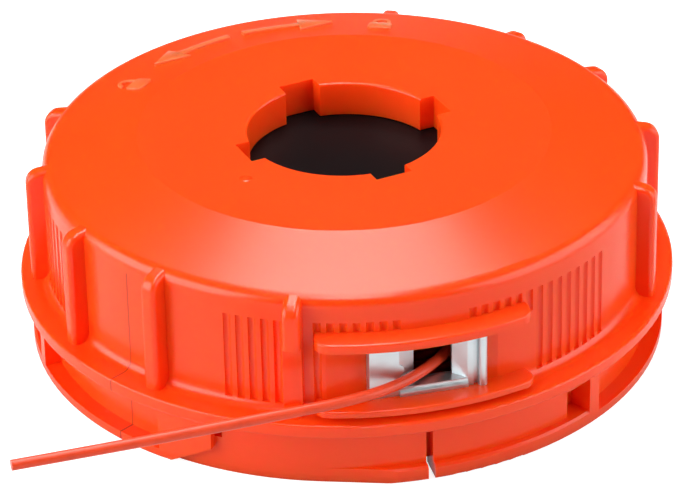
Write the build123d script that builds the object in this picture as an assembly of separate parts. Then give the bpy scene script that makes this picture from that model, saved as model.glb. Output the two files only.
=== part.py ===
from build123d import *
import math
import os

# Twist-on trimmer cassette: an orange cap, a line spool that turns inside it,
# the wound line, and one line end led out through a metal eyelet.
# Millimetres, Z up, the axis of rotation is Z, the rim of the skirt stands at z = 0.
# Angles run counter-clockwise from +X, seen from above.

# Cap: the turned body. A reach is how far a feature stands out from the wall.
wall_radius = 45.8
wall_thickness = 2.0
top_height = 32.6
top_thickness = 2.0
cone_width = 14.5
rim_drop = 2.9
rim_round = 2.0
flange_reach = 4.2
flange_bottom = 9.0
flange_thickness = 2.1
foot_round = 1.5
edge_round = 0.35

# Cap: the hole in the middle and the collar round it
hole_radius = 14.66
collar_wall = 4.54
collar_depth = 5.4
notch_width = 5.8
notch_reach = 2.09
notch_angle = 25.8

# Cap: grip ribs and flutes on the wall
rib_reach = 2.6
rib_width = 2.6
rib_sink = 0.15
rib_nose = 2.3
rib_round = 0.8
rib_angles = (-17.5, 6.5, 31.6, 53.5, 80.2)
flute_radius = 0.6
flute_depth = 0.42
flute_pitch = 2.375
flute_first = 247.8
flute_side_first = 191.2
flute_foot = 0.9
flute_drop = 3.9

# Cap: the sill below the eyelet, the shelf above it, and the flat panel between them
shelf_reach = 2.7
sill_reach = 3.5
sill_gap = 1.0
shelf_edge = 1.35
shelf_root = 1.9
shelf_half_angle = 20.0
shelf_corner = 2.2
panel_angle = 281.9
panel_half_angle = 16.0
panel_pad = 0.3

# Cap: the skirt below the flange, three equal thirds
skirt_reach = 1.5
lip_reach = 2.8
lip_height = 2.3
recess_reach = 0.3
recess_lip = 1.5
recess_start = 319.2
recess_end = 355.0
pocket_depth = 2.3
window_start = 312.4
window_end = 316.7
window_top = 6.6
slot_angle = 284.0
slot_width = 1.05
slot_step = 1.65
tab_start = 245.5
tab_lip_start = 264.0
tab_lip_full = 278.0
relief_width = 1.2
relief_low = 5.6
block_ramp_start = 237.0
block_ramp_rise = 4.0

# Eyelet: left and right are measured along the wall from its middle
eyelet_angle = 283.9
eyelet_height = 9.2
eyelet_mid = 17.65
eyelet_left = -8.25
eyelet_right = 9.2
plate_thickness = 1.8
plate_sunk = 0.4
mouth_left = -3.85
mouth_right = 6.3
mouth_low = 1.3
mouth_high = 0.4
throat_left = -1.3
throat_right = 4.4
throat_height = 5.6
throat_drop = 0.3
throat_length = 0.6
tube_wall = 0.9
tube_length = 2.2
window_clearance = 0.15
bead_width = 1.35
bar_round = 0.9
groove_width = 0.65
groove_depth = 0.45
nub_radius = 0.85
nub_reach = 0.75
nub_drop = 0.35

# Spool
spool_clearance = 1.4
spool_bottom = 0.4
spool_flange = 1.6
line_space = 22.4
hub_wall = 2.0
socket_radius = 5.0
socket_wall = 2.2
socket_depth = 18.0
web_thickness = 1.6
web_count = 6
journal_wall = 2.0
journal_rise = 1.5
journal_clearance = 0.06
spool_gap = 0.15

# Line
line_diameter = 1.6
winding_margin = 16.4
winding_clearance = 0.05
line_drop = 1.65
line_start_angle = -21.7

# Sizes that follow from the ones above
wall_inner = wall_radius - wall_thickness
flat_radius = wall_radius - cone_width
rim_height = top_height - rim_drop
flange_radius = wall_radius + flange_reach
flange_top = flange_bottom + flange_thickness
rib_radius = wall_radius + rib_reach
shelf_radius = wall_radius + shelf_reach
sill_radius = wall_radius + sill_reach
sill_bottom = flange_top + sill_gap
skirt_radius = wall_radius + skirt_reach
lip_radius = wall_radius + lip_reach
recess_radius = wall_radius + recess_reach
pocket_floor = skirt_radius - pocket_depth
outside = flange_radius + 2.0
collar_radius = hole_radius + collar_wall
collar_bottom = top_height - collar_depth
sill_top = eyelet_mid - eyelet_height / 2
shelf_bottom = eyelet_mid + eyelet_height / 2
panel_distance = wall_radius * math.cos(math.radians(panel_half_angle))
eyelet_seat = panel_distance - plate_sunk
eyelet_front = eyelet_seat + plate_thickness
eyelet_back = eyelet_front - tube_length
spool_radius = wall_inner - spool_clearance
hub_radius = spool_radius - line_space
disc_top = collar_bottom - spool_gap
disc_bottom = disc_top - spool_flange
winding_low = spool_bottom + spool_flange
winding_radius = spool_radius - winding_margin
line_height = eyelet_mid - line_drop
thirds = (0.0, 120.0, 240.0)


def polar(radius, angle, height=0.0):
    """Point at a radius and an angle about the axis."""
    turn = math.radians(angle)
    return Vector(radius * math.cos(turn), radius * math.sin(turn), height)


def turned(points, rounds=()):
    """Solid of revolution from (radius, height) points; rounds holds (point number, radius)."""
    face = make_face(Polyline(*points, close=True)).face()
    for number, radius in rounds:
        corner = face.vertices().sort_by_distance(Vector(*points[number], 0))[0]
        face = face.fillet_2d(radius, [corner])
    return revolve(Plane.XZ * face, Axis.Z)


def sector(points, start, end):
    """Part of a turned ring between two angles, from (radius, height) points."""
    face = make_face(Polyline(*points, close=True))
    swept = revolve(Plane.XZ * face, Axis.Z, revolution_arc=end - start)
    return Rot(0, 0, start) * swept


def ring_sector(inner, outer, low, high, start, end):
    """Part of a plain ring between two angles."""
    return sector([(inner, low), (outer, low), (outer, high), (inner, high)], start, end)


def radial_box(inner, outer, width, low, high, angle):
    """Box along a radius, from one distance to another."""
    block = Pos((inner + outer) / 2, 0, (low + high) / 2) * Box(outer - inner, width, high - low)
    return Rot(0, 0, angle) * block


def facing_plane(angle, distance=0.0):
    """Plane that faces outwards at an angle: x along the wall, y up, z outwards."""
    out = polar(1.0, angle)
    return Plane(origin=out * distance, x_dir=polar(1.0, angle + 90.0), z_dir=out)


def facing_box(angle, left, right, low, high, back, front):
    """Box in the directions of a facing plane."""
    place = Pos((left + right) / 2, (low + high) / 2, (back + front) / 2)
    return facing_plane(angle) * place * Box(right - left, high - low, front - back)


def cap_body():
    """The turned body of the cap: top, collar, wall, flange and the full skirt."""
    cone_slope = rim_drop / cone_width
    under_rim = rim_height - top_thickness + cone_slope * wall_thickness
    points = [
        (hole_radius, collar_bottom),
        (hole_radius, top_height),
        (flat_radius, top_height),
        (wall_radius, rim_height),
        (wall_radius, flange_top),
        (flange_radius, flange_top),
        (flange_radius, flange_bottom),
        (lip_radius, flange_bottom),
        (lip_radius, 0.0),
        (wall_inner, 0.0),
        (wall_inner, under_rim),
        (flat_radius, top_height - top_thickness),
        (collar_radius, top_height - top_thickness),
        (collar_radius, collar_bottom),
    ]
    rounds = [
        (3, rim_round),
        (10, rim_round - top_thickness / 2),
        (4, foot_round),
        (5, edge_round),
        (6, edge_round),
        (8, edge_round),
        (1, edge_round),
    ]
    return turned(points, rounds)


def grip_rib():
    """One upright grip rib at angle 0: its foot on the flange, its top carrying on the slope of the cone."""
    root = wall_radius - wall_thickness / 2
    slope = rim_drop / cone_width
    high = rim_height - rib_sink
    points = [
        (root, flange_top - edge_round),
        (rib_radius, flange_top - edge_round),
        (rib_radius, high - slope * rib_reach),
        (root, high + slope * (wall_radius - root)),
    ]
    face = make_face(Polyline(*points, close=True)).face()
    nose = face.vertices().sort_by_distance(Vector(*points[2], 0))[0]
    face = face.fillet_2d(rib_nose, [nose])
    rib = extrude(Plane.XZ * face, rib_width / 2, both=True)
    sides = [edge for edge in rib.edges() if abs(edge.center().Y) > rib_width / 4]
    upper = [edge for edge in sides if edge.center().Z > flange_top]
    outline = [edge for edge in upper if edge.center().X > root + edge_round]
    return fillet(outline, rib_round)


def flute_angles():
    """Angles of the fine flutes: full-height ones, and the ones that stop at the shelf."""
    grid = [flute_first + flute_pitch * step for step in range(33)]
    side = [flute_side_first + flute_pitch * step for step in range(6)]
    full = side + grid[0:5] + grid[7:8] + grid[25:33]
    short = grid[8:14] + grid[19:25]
    return full, short


def cap_flutes():
    """Round-bottomed grooves in the wall on both sides of the eyelet."""
    axis_radius = wall_radius + flute_radius - flute_depth
    high = rim_height - flute_drop
    full, short = flute_angles()
    grooves = []
    for angles, low in ((full, flange_top + flute_foot), (short, shelf_bottom)):
        for angle in angles:
            place = polar(axis_radius, angle, (low + high) / 2)
            grooves.append(Pos(place) * Cylinder(flute_radius, high - low))
    return grooves


def cap_shelves():
    """The sill below the eyelet and the shelf above it, with rounded corners in plan."""
    root = wall_inner + wall_thickness / 4
    sill = [
        (root, sill_bottom),
        (sill_radius, sill_bottom),
        (sill_radius, sill_top),
        (root, sill_top),
    ]
    shelf = [
        (root, shelf_bottom),
        (shelf_radius, shelf_bottom),
        (shelf_radius, shelf_bottom + shelf_edge),
        (wall_radius, shelf_bottom + shelf_root),
        (root, shelf_bottom + shelf_root),
    ]
    start = eyelet_angle - shelf_half_angle
    end = eyelet_angle + shelf_half_angle
    shelves = []
    for points in (sill, shelf):
        ledge = sector(points, start, end)
        upright = ledge.edges().filter_by(Axis.Z)
        corners = [edge for edge in upright if polar_radius(edge.center()) > wall_radius]
        ledge = fillet(corners, shelf_corner)
        rim = [edge for edge in ledge.edges() if on_ledge_rim(edge, points[2][1])]
        shelves.append(fillet(rim, edge_round))
    return shelves


def polar_radius(place):
    """Distance of a point from the axis."""
    return math.hypot(place.X, place.Y)


def on_ledge_rim(edge, height):
    """True for the upper outer edge of a ledge, its round corners included."""
    far = min(polar_radius(edge @ share) for share in (0.0, 0.5, 1.0)) > wall_radius + 0.1
    level = max(abs((edge @ share).Z - height) for share in (0.0, 0.5, 1.0)) < 0.3
    return far and level


def skirt_gallery():
    """The groove that leaves a lip along the skirt, from the latch tab to the rib by the window."""
    points = [
        (skirt_radius, lip_height),
        (lip_radius - edge_round, lip_height),
        (lip_radius, lip_height - edge_round),
        (outside, lip_height - edge_round),
        (outside, flange_bottom),
        (skirt_radius, flange_bottom),
    ]
    return sector(points, tab_start, window_end)


def latch_taper():
    """The wedge taken off the lip so that it rises from nothing to its full width."""
    start = polar(skirt_radius, tab_lip_start)
    full = polar(lip_radius, tab_lip_full)
    far = polar(outside, tab_lip_full)
    near = polar(outside, tab_start)
    back = polar(skirt_radius, tab_start)
    rim = ThreePointArc(back, polar(skirt_radius, (tab_start + tab_lip_start) / 2), start)
    face = make_face([rim, Polyline(start, full, far, near, back)])
    return extrude(Pos(0, 0, -1.0) * face, lip_height + 2.0)


def block_ramp():
    """The wedge under the end block: its lower edge climbs towards the latch tab."""
    angle = (block_ramp_start + tab_start) / 2
    half = math.radians(tab_start - block_ramp_start) * lip_radius / 2
    points = [
        (-half, 0.0),
        (half, block_ramp_rise),
        (half + 1.0, block_ramp_rise),
        (half + 1.0, -1.0),
        (-half, -1.0),
    ]
    face = make_face(Polyline(*points, close=True))
    wedge = extrude(facing_plane(angle, wall_radius) * face, outside - wall_radius)
    ring = ring_sector(skirt_radius, outside, -1.0, flange_bottom, recess_end - 120.0, tab_start)
    return wedge & ring


def skirt_cuts():
    """What is cut from the skirt in one third, from the latch tab on."""
    recess = ring_sector(recess_radius, outside, recess_lip, flange_bottom, recess_start, recess_end)
    window = ring_sector(pocket_floor, outside, lip_height, window_top, window_start, window_end)
    slot_high = flange_bottom - edge_round
    groove = radial_box(pocket_floor, outside, slot_width, slot_step, slot_high, slot_angle)
    gap = radial_box(wall_inner - 1.0, outside, slot_width, -1.0, slot_step, slot_angle)
    relief_angle = tab_start + math.degrees(relief_width / 2 / skirt_radius)
    relief = radial_box(pocket_floor, outside, relief_width, relief_low, slot_high, relief_angle)
    return [skirt_gallery(), latch_taper(), block_ramp(), recess, window, groove, gap, relief]


def eyelet_pad():
    """Thicker wall behind the flat panel, clear of the spool's flanges."""
    return ring_sector(
        spool_radius + panel_pad,
        wall_inner + wall_thickness / 4,
        sill_top - shelf_edge,
        shelf_bottom + shelf_edge,
        eyelet_angle - shelf_half_angle,
        eyelet_angle + shelf_half_angle,
    )


def eyelet_seat_cuts():
    """The flat panel, the seat of the eyelet's plate and the passage for its tube."""
    panel = facing_box(panel_angle, -outside, outside, sill_top, shelf_bottom, panel_distance, outside)
    seat = facing_box(eyelet_angle, eyelet_left, eyelet_right, sill_top, shelf_bottom, eyelet_seat, outside)
    gap = tube_wall + window_clearance
    middle = eyelet_mid - throat_drop
    passage = facing_box(
        eyelet_angle,
        throat_left - gap,
        throat_right + gap,
        middle - throat_height / 2 - gap,
        middle + throat_height / 2 + gap,
        spool_radius - 2.0,
        outside,
    )
    return [panel, seat, passage]


def make_cap():
    """The cap is one moulding."""
    ribs = []
    for half in (0.0, 180.0):
        for angle in rib_angles:
            ribs.append(Rot(0, 0, half + angle) * grip_rib())
    cap = cap_body() + ribs - cap_flutes()
    cap = cap + cap_shelves() + eyelet_pad()
    for third in thirds:
        cap = cap - [Rot(0, 0, third) * piece for piece in skirt_cuts()]
    cap = cap - eyelet_seat_cuts()
    reach = hole_radius + notch_reach
    notch = radial_box(0.0, reach, notch_width, collar_bottom - 1.0, top_height + 1.0, notch_angle)
    for quarter in (0.0, 90.0, 180.0, 270.0):
        cap = cap - Rot(0, 0, quarter) * notch
    return cap


def make_eyelet():
    """Metal eyelet: a plate with a beaded edge and a funnel that narrows to a throat."""
    low = eyelet_mid - eyelet_height / 2
    high = eyelet_mid + eyelet_height / 2
    middle = eyelet_mid - throat_drop
    throat_low = middle - throat_height / 2
    throat_high = middle + throat_height / 2
    plate = facing_box(eyelet_angle, eyelet_left, eyelet_right, low, high, eyelet_seat, eyelet_front)
    bead_place = Pos(eyelet_right - bead_width / 2, eyelet_mid, eyelet_front)
    bead = facing_plane(eyelet_angle) * bead_place * Rot(90, 0, 0) * Cylinder(bead_width / 2, eyelet_height)
    bar_front = eyelet_front + groove_depth
    bar = facing_box(eyelet_angle, mouth_left, mouth_right, low, low + mouth_low, eyelet_seat, bar_front)
    bar_edge = polar(1.0, eyelet_angle) * bar_front + Vector(0, 0, low + mouth_low)
    bar = fillet(bar.edges().sort_by_distance(bar_edge)[0], bar_round)
    tube = facing_box(
        eyelet_angle,
        throat_left - tube_wall,
        throat_right + tube_wall,
        throat_low - tube_wall,
        throat_high + tube_wall,
        eyelet_back,
        eyelet_front,
    )
    throat_end = eyelet_back + throat_length
    mouth_middle = (low + mouth_low + high - mouth_high) / 2
    mouth_height = eyelet_height - mouth_low - mouth_high
    mouth = Pos((mouth_left + mouth_right) / 2, mouth_middle, eyelet_front)
    mouth = mouth * Rectangle(mouth_right - mouth_left, mouth_height)
    throat = Pos((throat_left + throat_right) / 2, middle, throat_end)
    throat = throat * Rectangle(throat_right - throat_left, throat_height)
    funnel = facing_plane(eyelet_angle) * loft([throat, mouth])
    hole = facing_box(
        eyelet_angle, throat_left, throat_right, throat_low, throat_high, eyelet_back - 1.0, throat_end + 0.1
    )
    groove_right = eyelet_right - bead_width
    groove_left = groove_right - groove_width
    groove_floor = eyelet_front - groove_depth
    groove = facing_box(eyelet_angle, groove_left, groove_right, low, high, groove_floor, outside)
    nub_side = mouth_left + nub_reach - nub_radius
    nub_place = Pos(nub_side, eyelet_mid - nub_drop, (eyelet_seat + eyelet_front) / 2)
    nub = facing_plane(eyelet_angle) * nub_place * Cylinder(nub_radius, plate_thickness)
    return plate + tube + bar - funnel - hole - groove + bead + nub


def make_spool():
    """Spool with a closed top, two flanges, a hollow hub and a drive socket on webs."""
    journal_inner = collar_radius + journal_clearance
    journal_outer = journal_inner + journal_wall
    points = [
        (0.0, disc_top),
        (journal_inner, disc_top),
        (journal_inner, disc_top + journal_rise),
        (journal_outer, disc_top + journal_rise),
        (journal_outer, disc_top),
        (spool_radius, disc_top),
        (spool_radius, disc_bottom),
        (hub_radius, disc_bottom),
        (hub_radius, winding_low),
        (spool_radius, winding_low),
        (spool_radius, spool_bottom),
        (hub_radius - hub_wall, spool_bottom),
        (hub_radius - hub_wall, disc_bottom),
        (0.0, disc_bottom),
    ]
    spool = turned(points)
    socket_outer = socket_radius + socket_wall
    post = Pos(0, 0, (spool_bottom + disc_top) / 2) * Cylinder(socket_outer, disc_top - spool_bottom)
    web_inner = (socket_radius + socket_outer) / 2
    web_outer = hub_radius - hub_wall / 2
    webs = []
    for number in range(web_count):
        angle = number * 360.0 / web_count
        webs.append(radial_box(web_inner, web_outer, web_thickness, winding_low, disc_bottom + 0.1, angle))
    socket = Pos(0, 0, spool_bottom + socket_depth / 2) * Cylinder(socket_radius, socket_depth)
    return spool + post + webs - socket


def make_winding():
    """All the turns on the hub as one ring, its outside scalloped by the outermost turns."""
    inner = hub_radius + winding_clearance
    height = disc_bottom - winding_low
    turns = int(height / line_diameter)
    pitch = height / turns
    valley = winding_radius - line_diameter / 2
    sides = Polyline((valley, winding_low), (inner, winding_low), (inner, disc_bottom), (valley, disc_bottom))
    edges = [sides]
    for turn in range(turns):
        low = winding_low + turn * pitch
        edges.append(ThreePointArc((valley, low), (winding_radius, low + pitch / 2), (valley, low + pitch)))
    return revolve(Plane.XZ * make_face(edges), Axis.Z)


# Route of the free line past the winding: along the wall and out from the front of the eyelet
line_route = [
    (16.12, -20.19),
    (9.44, -11.13),
    (2.23, -2.18),
    (-7.73, 3.55),
    (-25.04, 5.01),
    (-43.09, 6.31),
    (-61.31, 7.11),
]
line_bends = [40.0, 40.0, 14.0, 12.0, 150.0, 150.0]


def make_line():
    """The free end of the line: off the winding, through the eyelet, round its left edge and away."""
    along = polar(1.0, eyelet_angle + 90.0)
    out = polar(1.0, eyelet_angle)
    points = [polar(winding_radius + line_diameter, line_start_angle, line_height)]
    for left, forward in line_route:
        points.append(along * left + out * (eyelet_front + forward) + Vector(0, 0, line_height))
    path = FilletPolyline(*points, radius=line_bends)
    start = Plane(origin=path @ 0, z_dir=path % 0)
    line = sweep(start * Circle(line_diameter / 2), path=path)
    print("line length", round(path.length, 2), "route", [(round(p.X, 2), round(p.Y, 2)) for p in points])
    return line


pieces = {
    "cap": make_cap(),
    "eyelet": make_eyelet(),
    "spool": make_spool(),
    "line_winding": make_winding(),
    "line_end": make_line(),
}

os.makedirs("parts", exist_ok=True)
for name, shape in pieces.items():
    solids = shape.solids()
    print(name, "solids", len(solids), "volume", round(shape.volume, 1), "box", shape.bounding_box())
    export_step(solids[0], f"parts/{name}.step")
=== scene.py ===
# %% [markdown]
# # A twist-on trimmer line spool
#
# The object is a cassette for a grass trimmer: an orange moulded cap, a black
# spool that turns inside it, the line wound on the spool, and one end of the line
# led out through a metal eyelet. The CAD model gives every piece its size and
# place. This lesson gives each surface its finish, adds the marks that are moulded
# into the cap, and sets up a small studio. Blender works in metres here, with +Z up.
# Sizes on the object are written in millimetres and multiplied by MM.

import math

import bpy
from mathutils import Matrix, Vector


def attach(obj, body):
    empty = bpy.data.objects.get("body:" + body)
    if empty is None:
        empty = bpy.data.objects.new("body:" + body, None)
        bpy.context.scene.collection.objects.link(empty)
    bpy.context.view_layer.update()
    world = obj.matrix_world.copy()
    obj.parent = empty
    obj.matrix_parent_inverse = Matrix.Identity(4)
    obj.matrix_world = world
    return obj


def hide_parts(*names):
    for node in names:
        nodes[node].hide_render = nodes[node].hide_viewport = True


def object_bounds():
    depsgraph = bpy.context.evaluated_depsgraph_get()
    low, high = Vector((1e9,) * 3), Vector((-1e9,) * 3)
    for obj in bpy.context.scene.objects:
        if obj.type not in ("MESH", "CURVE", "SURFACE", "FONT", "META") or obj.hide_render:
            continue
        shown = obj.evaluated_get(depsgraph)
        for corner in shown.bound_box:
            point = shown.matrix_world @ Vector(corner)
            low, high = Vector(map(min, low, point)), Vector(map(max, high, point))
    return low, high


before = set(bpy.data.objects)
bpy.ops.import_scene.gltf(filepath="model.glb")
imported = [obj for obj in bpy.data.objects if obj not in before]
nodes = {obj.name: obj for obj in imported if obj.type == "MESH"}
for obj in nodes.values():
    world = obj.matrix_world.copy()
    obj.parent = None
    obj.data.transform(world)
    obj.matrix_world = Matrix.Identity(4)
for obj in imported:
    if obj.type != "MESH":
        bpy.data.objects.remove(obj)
cad_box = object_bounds()
MM = 0.001
print("nodes:", sorted(nodes), "box:", [list(corner) for corner in cad_box])

# %% [markdown]
# ## The camera
#
# The picture is a product shot with a long lens, from about 0.6 m away and
# 31 degrees above the floor. The long lens keeps the ellipses of the cap nearly
# parallel. The camera leans by one degree, so the floor line runs slightly down to
# the left. A location, three angles and a lens are enough to say all that.

# %% Camera
camera_data = bpy.data.cameras.new("studio_camera")
camera_data.lens = 199.7
camera_data.sensor_width = 36.0
camera = bpy.data.objects.new("studio_camera", camera_data)
camera.location = (0.0, -0.5025, 0.3012)
camera.rotation_euler = [math.radians(angle) for angle in (60.086, 1.048, -0.491)]
bpy.context.scene.collection.objects.link(camera)
bpy.context.scene.camera = camera
print("camera distance:", round(camera.location.length, 4))

# %% [markdown]
# ## The free line
#
# Trimmer line is a thick nylon monofilament. It is stiff, so it leaves the winding
# in a long even bow, bends once round the edge of the eyelet and runs on nearly
# straight. A NURBS curve with the route's points as its control points bends as
# evenly as the real line. A round bevel gives it its thickness: the bevel depth is
# one, so that the radius of each control point is the radius of the line.

# %% Line
line_height = 16.0
line_diameter = 1.6
line_route = [
    (25.64, -10.21),
    (21.71, -20.62),
    (17.40, -31.02),
    (12.55, -41.44),
    (4.26, -49.40),
    (-12.19, -54.97),
    (-29.40, -60.57),
    (-46.89, -65.73),
]
line_curve = bpy.data.curves.new("trimmer_line", "CURVE")
line_curve.dimensions = "3D"
line_curve.bevel_depth = 1.0
line_curve.bevel_resolution = 6
line_curve.resolution_u = 16
line_curve.use_fill_caps = True
spline = line_curve.splines.new("NURBS")
spline.points.add(len(line_route) - 1)
for point, (x, y) in zip(spline.points, line_route):
    point.co = (x * MM, y * MM, line_height * MM, 1.0)
    point.radius = line_diameter / 2 * MM
spline.order_u = 3
spline.use_endpoint_u = True
trimmer_line = bpy.data.objects.new("trimmer_line", line_curve)
bpy.context.scene.collection.objects.link(trimmer_line)
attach(trimmer_line, "housing")
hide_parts("line_end")
print("line control points:", len(spline.points))

# %% [markdown]
# ## Turning marks on the cone
#
# The marks of the real cap are cut into its mould, so they stand a little proud of
# the coned rim: an arrow for each way of turning, and a padlock, open or shut, where
# the arrow points. A bump in the material would be quicker, but at this slant only
# real edges catch the light. Each mark is modelled flat at the origin, with +X to
# the right and +Y towards the rim, and is then seated on the cone.

# %% Sizes of the marks
mark_rise = 0.35
mark_sink = 0.25
mark_depth = mark_rise + mark_sink
mark_level = (mark_rise - mark_sink) / 2
mark_edge = 0.14
cone_start = 31.3
cone_slope = 0.2
cone_top = cad_box[1][2] / MM
print("the cone falls from", round(cone_top, 2), "mm, marks stand", mark_rise, "mm proud")


# %% Helpers for a flat mark
def select_only(*pieces):
    """Selects these objects and makes the first one active."""
    bpy.ops.object.select_all(action="DESELECT")
    for piece in pieces:
        piece.select_set(True)
    bpy.context.view_layer.objects.active = pieces[0]


def start_block(name, x, y, width, length):
    """Block to start a stroke from, in millimetres; its foot lies below the cone."""
    bpy.ops.object.select_all(action="DESELECT")
    bpy.ops.mesh.primitive_cube_add(size=MM, location=(x * MM, y * MM, mark_level * MM))
    block = bpy.context.object
    block.name = name
    block.scale = (width, length, mark_depth)
    bpy.ops.object.transform_apply(location=True, rotation=True, scale=True)
    return block


def select_end(block, direction):
    """Enters edit mode with only the farthest face in a direction selected."""
    bpy.ops.object.mode_set(mode="EDIT")
    bpy.ops.mesh.select_mode(type="FACE")
    bpy.ops.mesh.select_all(action="DESELECT")
    bpy.ops.object.mode_set(mode="OBJECT")
    end = max(block.data.polygons, key=lambda face: face.center.dot(Vector(direction)))
    end.select = True
    bpy.ops.object.mode_set(mode="EDIT")


def extrude_round(angle, steps, centre_y):
    """Extrudes the selected face counter-clockwise about a point on the Y axis."""
    # With no window open, the rotate operator turns the other way, hence the minus sign.
    for _ in range(steps):
        bpy.ops.mesh.extrude_region()
        bpy.ops.transform.rotate(
            value=math.radians(-angle / steps),
            orient_axis="Z",
            center_override=(0.0, centre_y * MM, 0.0),
        )


def seat_on_cone(piece, angle, radius):
    """Softens the edges, lays the flat piece on the cone and gives it to the cap."""
    select_only(piece)
    softened = piece.modifiers.new("softened_edges", "BEVEL")
    softened.width = mark_edge * MM
    softened.segments = 3
    bpy.ops.object.modifier_apply(modifier=softened.name)
    turn = math.radians(angle)
    height = cone_top - cone_slope * (radius - cone_start)
    piece.location = (radius * math.cos(turn) * MM, radius * math.sin(turn) * MM, height * MM)
    piece.rotation_euler = (-math.atan(cone_slope), 0.0, turn - math.pi / 2)
    bpy.ops.object.transform_apply(location=True, rotation=True, scale=True)
    bpy.ops.object.shade_smooth_by_angle(angle=math.radians(35))
    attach(piece, "housing")


print("the edges of a mark are rounded by", mark_edge, "mm")

# %% [markdown]
# ### Arrows
#
# An arrow is one stroke that bends about the axis of the cap, and a three-sided
# head. The stroke starts as a short block in the middle and grows by extruding its
# two ends along the arc. The second arrow is a mirrored copy, and mirroring turns a
# mesh inside out, so its normals are recalculated.

# %% Arrow sizes
arrow_radius = 38.1
stroke_width = 1.35
stroke_core = 1.0
front_sweep = 2.6
tail_sweep = 10.5
head_radius = 3.7
head_reach = 3.7
head_drop = 0.2
head_turn = -95.5
head_squeeze = 0.84
print("the ends of an arrow's stroke sweep", front_sweep, "and", tail_sweep, "degrees")

# %% Arrow to the right
arrow_right = start_block("turning_arrow_right", 0.0, 0.0, stroke_core, stroke_width)
select_end(arrow_right, (1, 0, 0))
extrude_round(-front_sweep, steps=2, centre_y=-arrow_radius)
select_end(arrow_right, (-1, 0, 0))
extrude_round(tail_sweep, steps=5, centre_y=-arrow_radius)
bpy.ops.object.mode_set(mode="OBJECT")
bpy.ops.object.select_all(action="DESELECT")
bpy.ops.mesh.primitive_cylinder_add(
    vertices=3,
    radius=head_radius * MM,
    depth=mark_depth * MM,
    location=(head_reach * MM, -head_drop * MM, mark_level * MM),
    rotation=(0.0, 0.0, math.radians(head_turn)),
)
arrow_head = bpy.context.object
arrow_head.scale = (head_squeeze, 1.0, 1.0)
bpy.ops.object.transform_apply(location=True, rotation=True, scale=True)
select_only(arrow_right, arrow_head)
bpy.ops.object.join()
print("faces of the flat arrow:", len(arrow_right.data.polygons))

# %% Arrow to the left, and both on the cone
arrow_left = arrow_right.copy()
arrow_left.data = arrow_right.data.copy()
arrow_left.name = "turning_arrow_left"
bpy.context.scene.collection.objects.link(arrow_left)
arrow_left.scale = (-1.0, 1.0, 1.0)
select_only(arrow_left)
bpy.ops.object.transform_apply(location=True, rotation=True, scale=True)
bpy.ops.object.mode_set(mode="EDIT")
bpy.ops.mesh.select_all(action="SELECT")
bpy.ops.mesh.normals_make_consistent(inside=False)
bpy.ops.object.mode_set(mode="OBJECT")
seat_on_cone(arrow_right, angle=103.3, radius=arrow_radius)
seat_on_cone(arrow_left, angle=129.4, radius=arrow_radius)
print("faces with softened edges:", len(arrow_right.data.polygons), len(arrow_left.data.polygons))

# %% [markdown]
# ### Padlocks
#
# A padlock is a block with rounded corners and a shackle, which is one leg whose end
# is extruded round half a circle. The shut one gets a second leg down to the body;
# on the open one the shackle ends in the air.

# %% Padlock sizes
body_width = 3.7
body_length = 2.8
body_middle = -1.0
body_corner = 0.5
leg_side = 1.15
leg_middle = 0.75
leg_width = 0.65
leg_length = 0.9
shackle_centre = leg_middle + leg_length / 2
print("a padlock is", body_width, "mm wide")


# %% Padlocks
def padlock(name, shut):
    """Padlock with its shackle towards the rim."""
    body = start_block(name, 0.0, body_middle, body_width, body_length)
    bpy.ops.object.mode_set(mode="EDIT")
    bpy.ops.mesh.select_mode(type="EDGE")
    bpy.ops.mesh.select_all(action="DESELECT")
    bpy.ops.object.mode_set(mode="OBJECT")
    # The upright edges are the corners of the body, seen from above.
    for edge in body.data.edges:
        low, high = [body.data.vertices[number].co for number in edge.vertices]
        edge.select = abs(high.z - low.z) > mark_sink * MM
    bpy.ops.object.mode_set(mode="EDIT")
    bpy.ops.mesh.bevel(offset=body_corner * MM, segments=3)
    bpy.ops.object.mode_set(mode="OBJECT")
    shackle = start_block("shackle", leg_side, leg_middle, leg_width, leg_length)
    select_end(shackle, (0, 1, 0))
    extrude_round(180.0, steps=10, centre_y=shackle_centre)
    if shut:
        second_leg = (0.0, -leg_length * MM, 0.0)
        bpy.ops.mesh.extrude_region_move(TRANSFORM_OT_translate={"value": second_leg})
    bpy.ops.object.mode_set(mode="OBJECT")
    select_only(body, shackle)
    bpy.ops.object.join()
    return body


padlock_shut = padlock("padlock_shut", shut=True)
padlock_open = padlock("padlock_open", shut=False)
seat_on_cone(padlock_shut, angle=80.5, radius=37.4)
seat_on_cone(padlock_open, angle=151.5, radius=37.0)
turning_marks = [arrow_right, arrow_left, padlock_shut, padlock_open]
print("marks:", [mark.name for mark in turning_marks])

# %% [markdown]
# ## Three small helpers for materials
#
# Colours are easiest to read as sRGB hex values, but shaders work in linear light,
# so one function converts them. A second one adds a node and fills its inputs,
# either with a value or with a link from another node. A third starts a material
# and hands over its node tree and its Principled shader.

# %% Helpers for colour and nodes
def linear(hex_colour):
    """Linear RGBA from an sRGB hex value."""
    channels = [int(hex_colour[start : start + 2], 16) / 255 for start in (1, 3, 5)]
    return [c / 12.92 if c <= 0.04045 else ((c + 0.055) / 1.055) ** 2.4 for c in channels] + [1.0]


def add_node(tree, kind, inputs=None, **settings):
    """Adds a node; each input takes a value or another node's output."""
    made = tree.nodes.new(kind)
    for name, value in settings.items():
        setattr(made, name, value)
    for name, value in (inputs or {}).items():
        if isinstance(value, bpy.types.NodeSocket):
            tree.links.new(value, made.inputs[name])
        else:
            made.inputs[name].default_value = value
    return made


def new_material(name):
    """Material with a Principled shader; returns material, node tree and shader."""
    material = bpy.data.materials.new(name)
    material.use_nodes = True
    return material, material.node_tree, material.node_tree.nodes["Principled BSDF"]


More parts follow.
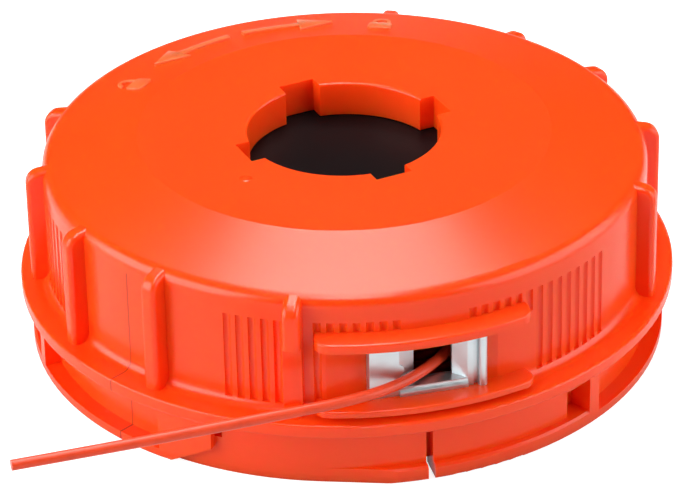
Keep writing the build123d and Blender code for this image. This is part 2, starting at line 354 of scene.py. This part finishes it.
print("white in linear light:", linear("#ffffff"))

# %% [markdown]
# ## Orange ABS
#
# The cap is injection-moulded ABS. The mould was polished and then lightly
# textured, so the surface is satin: lamps show as soft pale patches, not as
# mirror images. Orange pigment lets red light travel a little way under the
# surface, which is why the shaded corners stay a deep, clean red.

# %% Orange ABS: flow clouds
abs_orange, tree, shader = new_material("moulded_abs_orange")
place = add_node(tree, "ShaderNodeTexCoord").outputs["Object"]
# The pigment spreads a little unevenly, in patches of about 18 mm.
flow_size = 18
flow = add_node(
    tree,
    "ShaderNodeTexNoise",
    {"Vector": place, "Scale": 1 / (flow_size * MM), "Detail": 1.0, "Roughness": 0.4},
)
flow_value = add_node(
    tree,
    "ShaderNodeMapRange",
    {"Value": flow.outputs["Fac"], "From Min": 0.1, "From Max": 0.9, "To Min": 0.98, "To Max": 1.02},
)
sheen = add_node(
    tree,
    "ShaderNodeMapRange",
    {"Value": flow.outputs["Fac"], "From Min": 0.1, "From Max": 0.9, "To Min": 0.23, "To Max": 0.26},
)
tree.links.new(sheen.outputs["Result"], shader.inputs["Roughness"])
print("flow clouds of", flow_size, "mm")

# %% Orange ABS: mould seam, painted as shade
# A hair line up the wall, on both sides, where the slides of the mould meet. Its darkness is painted
# shade, standing in for the shadow beside the seam's small flash ridge.
seam_turn = math.radians(226)
seam_core = 0.08
seam_edge = 0.2
seam_fade = (26.5, 27.5)
seam_side = add_node(
    tree,
    "ShaderNodeVectorMath",
    {0: place, 1: (math.sin(seam_turn), -math.cos(seam_turn), 0.0)},
    operation="DOT_PRODUCT",
)
seam_distance = add_node(tree, "ShaderNodeMath", {0: seam_side.outputs["Value"]}, operation="ABSOLUTE")
# Painted shade: the base colour falls to 0.45 along the seam line.
seam_painted_shade = add_node(
    tree,
    "ShaderNodeMapRange",
    {
        "Value": seam_distance.outputs["Value"],
        "From Min": seam_core * MM,
        "From Max": seam_edge * MM,
        "To Min": 0.45,
    },
)
height = add_node(tree, "ShaderNodeSeparateXYZ", {"Vector": place})
above_wall = add_node(
    tree,
    "ShaderNodeMapRange",
    {"Value": height.outputs["Z"], "From Min": seam_fade[0] * MM, "From Max": seam_fade[1] * MM},
)
seam = add_node(
    tree,
    "ShaderNodeMath",
    {0: seam_painted_shade.outputs["Result"], 1: above_wall.outputs["Result"]},
    operation="MAXIMUM",
)
shade = add_node(
    tree,
    "ShaderNodeMath",
    {0: flow_value.outputs["Result"], 1: seam.outputs["Value"]},
    operation="MULTIPLY",
)
tint = add_node(
    tree,
    "ShaderNodeHueSaturation",
    {"Value": shade.outputs["Value"], "Color": linear("#fb480c")},
    name="pigment",
)
tree.links.new(tint.outputs["Color"], shader.inputs["Base Color"])
print("the seam is", 2 * seam_edge, "mm wide")

# %% Orange ABS: gate mark and skin
# Gate mark: the round plug of plastic where the mould was filled.
gate_turn = math.radians(226)
gate_radius = 21.1
gate_flat = 0.6
gate_edge = 1.0
gate_place = (
    gate_radius * math.cos(gate_turn) * MM,
    gate_radius * math.sin(gate_turn) * MM,
    cone_top * MM,
)
gate_distance = add_node(tree, "ShaderNodeVectorMath", {0: place, 1: gate_place}, operation="DISTANCE")
gate_height = add_node(
    tree,
    "ShaderNodeMapRange",
    {
        "Value": gate_distance.outputs["Value"],
        "From Min": gate_flat * MM,
        "From Max": gate_edge * MM,
        "To Min": 1.0,
        "To Max": 0.0,
    },
)
gate_relief = add_node(
    tree,
    "ShaderNodeBump",
    {"Height": gate_height.outputs["Result"], "Strength": 0.8, "Distance": 0.2 * MM},
)
# Skin texture: grains of about 0.4 mm, drawn at 0.7 mm so that they show.
skin = add_node(
    tree,
    "ShaderNodeTexNoise",
    {"Vector": place, "Scale": 1 / (0.7 * MM), "Detail": 2.0, "Roughness": 0.5},
)
relief = add_node(
    tree,
    "ShaderNodeBump",
    {
        "Height": skin.outputs["Fac"],
        "Strength": 0.12,
        "Distance": 0.02 * MM,
        "Normal": gate_relief.outputs["Normal"],
    },
)
tree.links.new(relief.outputs["Normal"], shader.inputs["Normal"])
shader.inputs["IOR"].default_value = 1.53
shader.inputs["Specular IOR Level"].default_value = 0.32
shader.inputs["Subsurface Weight"].default_value = 0.7
shader.inputs["Subsurface Radius"].default_value = (1.0, 0.1, 0.04)
shader.inputs["Subsurface Scale"].default_value = 3.0 * MM
print("the gate mark is", 2 * gate_edge, "mm across")

# %% Orange ABS painted lighter for the raised marks
# The raised marks get a paler copy of the orange: painted light, standing in for the light their rounded
# edges catch.
abs_marks_painted_light = abs_orange.copy()
abs_marks_painted_light.name = "moulded_abs_orange_painted_lighter"
# Painted light: the marks' base colour is set lighter than the cap's.
abs_marks_painted_light.node_tree.nodes["pigment"].inputs["Color"].default_value = linear("#ff6834")
print("materials:", abs_orange.name, abs_marks_painted_light.name)

# %% [markdown]
# ## Black spool plastic
#
# Through the hole in the cap only the flat top of the spool shows. It is black
# polyamide with a slightly rough mould skin, so it is dark grey where the lamps
# graze it and never quite black.

# %% Black polyamide, moulded, matt
polyamide_black, tree, shader = new_material("moulded_polyamide_black")
place = add_node(tree, "ShaderNodeTexCoord").outputs["Object"]
# Spark-eroded skin: pits of about 0.3 mm, drawn at 0.6 mm so that they show.
pits = add_node(
    tree,
    "ShaderNodeTexNoise",
    {"Vector": place, "Scale": 1 / (0.6 * MM), "Detail": 3.0, "Roughness": 0.6},
)
wear = add_node(
    tree,
    "ShaderNodeTexNoise",
    {"Vector": place, "Scale": 1 / (9 * MM), "Detail": 4.0, "Roughness": 0.6},
)
wear_roughness = add_node(
    tree,
    "ShaderNodeMapRange",
    {"Value": wear.outputs["Fac"], "From Min": 0.3, "From Max": 0.7, "To Min": 0.34, "To Max": 0.42},
)
tree.links.new(wear_roughness.outputs["Result"], shader.inputs["Roughness"])
relief = add_node(
    tree,
    "ShaderNodeBump",
    {"Height": pits.outputs["Fac"], "Strength": 0.25, "Distance": 0.03 * MM},
)
tree.links.new(relief.outputs["Normal"], shader.inputs["Normal"])
shader.inputs["Base Color"].default_value = linear("#0e0a0b")
shader.inputs["IOR"].default_value = 1.53
shader.inputs["Specular IOR Level"].default_value = 0.06
print("material:", polyamide_black.name)

# %% [markdown]
# ## Zinc-plated eyelet
#
# The eyelet is pressed steel with a blue-passivated zinc plating: a pale, slightly
# blue metal whose reflections are spread by the plating. Fine cloudy differences in
# roughness keep it from looking like a mirror.

# %% Zinc-plated metal, satin
zinc_metal, tree, shader = new_material("zinc_plated_metal")
place = add_node(tree, "ShaderNodeTexCoord").outputs["Object"]
clouds = add_node(
    tree,
    "ShaderNodeTexNoise",
    {"Vector": place, "Scale": 1 / (1.5 * MM), "Detail": 4.0, "Roughness": 0.6},
)
cloud_roughness = add_node(
    tree,
    "ShaderNodeMapRange",
    {"Value": clouds.outputs["Fac"], "From Min": 0.3, "From Max": 0.7, "To Min": 0.34, "To Max": 0.46},
)
tree.links.new(cloud_roughness.outputs["Result"], shader.inputs["Roughness"])
relief = add_node(
    tree,
    "ShaderNodeBump",
    {"Height": clouds.outputs["Fac"], "Strength": 0.15, "Distance": 0.02 * MM},
)
tree.links.new(relief.outputs["Normal"], shader.inputs["Normal"])
shader.inputs["Base Color"].default_value = linear("#ccd6d9")
shader.inputs["Metallic"].default_value = 1.0
print("material:", zinc_metal.name)

# %% [markdown]
# ## Nylon line
#
# The line is drawn nylon in the same orange as the cap, but smoother and slightly
# clear, so it has a thin bright streak along its top and a warm, dark underside.

# %% Drawn nylon, glossy
nylon_line, tree, shader = new_material("drawn_nylon_orange")
place = add_node(tree, "ShaderNodeTexCoord").outputs["Object"]
draw_marks = add_node(
    tree,
    "ShaderNodeTexNoise",
    {"Vector": place, "Scale": 1 / (2.5 * MM), "Detail": 3.0, "Roughness": 0.6},
)
draw_value = add_node(
    tree,
    "ShaderNodeMapRange",
    {"Value": draw_marks.outputs["Fac"], "From Min": 0.3, "From Max": 0.7, "To Min": 0.9, "To Max": 1.06},
)
tint = add_node(
    tree,
    "ShaderNodeHueSaturation",
    {"Value": draw_value.outputs["Result"], "Color": linear("#e44826")},
)
tree.links.new(tint.outputs["Color"], shader.inputs["Base Color"])
shader.inputs["Roughness"].default_value = 0.3
shader.inputs["IOR"].default_value = 1.53
shader.inputs["Specular IOR Level"].default_value = 0.3
shader.inputs["Subsurface Weight"].default_value = 0.1
shader.inputs["Subsurface Radius"].default_value = (1.0, 0.25, 0.1)
shader.inputs["Subsurface Scale"].default_value = 0.6 * MM
print("material:", nylon_line.name)

# %% [markdown]
# ## Dressing the CAD nodes
#
# The CAD nodes keep their shape and place; they only get their materials. Their
# shading normals come with the CAD model, so turned faces look round and edges stay
# crisp without any smoothing here.

# %% Materials on the pieces
def dress(piece, material):
    """Gives a piece one material in place of what it came with."""
    piece.data.materials.clear()
    piece.data.materials.append(material)


dress(nodes["cap"], abs_orange)
dress(nodes["spool"], polyamide_black)
dress(nodes["line_winding"], nylon_line)
dress(nodes["eyelet"], zinc_metal)
dress(trimmer_line, nylon_line)
for mark in turning_marks:
    dress(mark, abs_marks_painted_light)

# %% [markdown]
# ## A white studio
#
# The object stands on a paper sheet under a long softbox that hangs above it and
# reaches to the back, with a lower box at each side. The far end of the long box shows
# as the pale sheen on the front of the coned rim. A short strip at the front carries
# that sheen on round the rim and into the eyelet; it is seen in reflections only, so
# the front stays in shade. The sheet itself is light grey, so that it throws little
# light back on the front, and the Light Path node lifts it to white for the camera.

# %% Floor
floor_size = 6.0
# The sheet lies a hair below the rim of the skirt, so that they don't share a plane.
floor_drop = 0.1
bpy.ops.object.select_all(action="DESELECT")
bpy.ops.mesh.primitive_plane_add(size=floor_size, location=(0.0, 0.0, -floor_drop * MM))
floor = bpy.context.object
floor.name = "studio_floor"
print("floor size:", floor_size, "m")

# %% Paper sheet, pale grey, matt
camera_lift = 0.85
reflection_lift = 0.4
paper, tree, shader = new_material("pale_grey_paper_sheet")
shader.inputs["Base Color"].default_value = linear("#bebebe")
shader.inputs["Roughness"].default_value = 0.9
shader.inputs["Specular IOR Level"].default_value = 0.0
path = add_node(tree, "ShaderNodeLightPath")
mirrored = add_node(
    tree,
    "ShaderNodeMath",
    {0: path.outputs["Is Glossy Ray"], 1: path.outputs["Is Transmission Ray"]},
    operation="MAXIMUM",
)
mirrored_lift = add_node(
    tree,
    "ShaderNodeMath",
    {0: mirrored.outputs["Value"], 1: reflection_lift},
    operation="MULTIPLY",
)
lift = add_node(
    tree,
    "ShaderNodeMath",
    {0: path.outputs["Is Camera Ray"], 1: camera_lift, 2: mirrored_lift.outputs["Value"]},
    operation="MULTIPLY_ADD",
)
shader.inputs["Emission Color"].default_value = linear("#ffffff")
tree.links.new(lift.outputs["Value"], shader.inputs["Emission Strength"])
dress(floor, paper)
print("material:", paper.name)


# %% Lamps
def softbox(name, azimuth, elevation, distance, width, height, power):
    """Area lamp that faces the object from an azimuth and elevation in degrees."""
    lamp = bpy.data.lights.new(name, "AREA")
    lamp.shape = "RECTANGLE"
    lamp.size = width
    lamp.size_y = height
    lamp.energy = power
    turn = math.radians(azimuth)
    rise = math.radians(elevation)
    direction = Vector((math.cos(turn) * math.cos(rise), math.sin(turn) * math.cos(rise), math.sin(rise)))
    box = bpy.data.objects.new(name, lamp)
    box.location = direction * distance
    box.rotation_euler = direction.to_track_quat("Z", "Y").to_euler()
    bpy.context.scene.collection.objects.link(box)
    return box


softbox("overhead_softbox", azimuth=90, elevation=76, distance=1.24, width=0.44, height=1.2, power=14.8)
sheen_strip = softbox(
    "sheen_strip", azimuth=270, elevation=66, distance=1.3, width=0.44, height=0.56, power=7.0
)
sheen_strip.visible_diffuse = False
softbox("left_softbox", azimuth=200, elevation=22, distance=1.0, width=1.2, height=0.75, power=15.0)
softbox("right_softbox", azimuth=350, elevation=22, distance=1.0, width=1.2, height=0.75, power=9.5)

# %% World and view
world = bpy.data.worlds.new("studio_world")
world.use_nodes = True
background = world.node_tree.nodes["Background"]
background.inputs["Color"].default_value = linear("#ffffff")
background.inputs["Strength"].default_value = 0.04
bpy.context.scene.world = world
bpy.context.scene.view_settings.view_transform = "Standard"
print("world strength:", round(background.inputs["Strength"].default_value, 3))
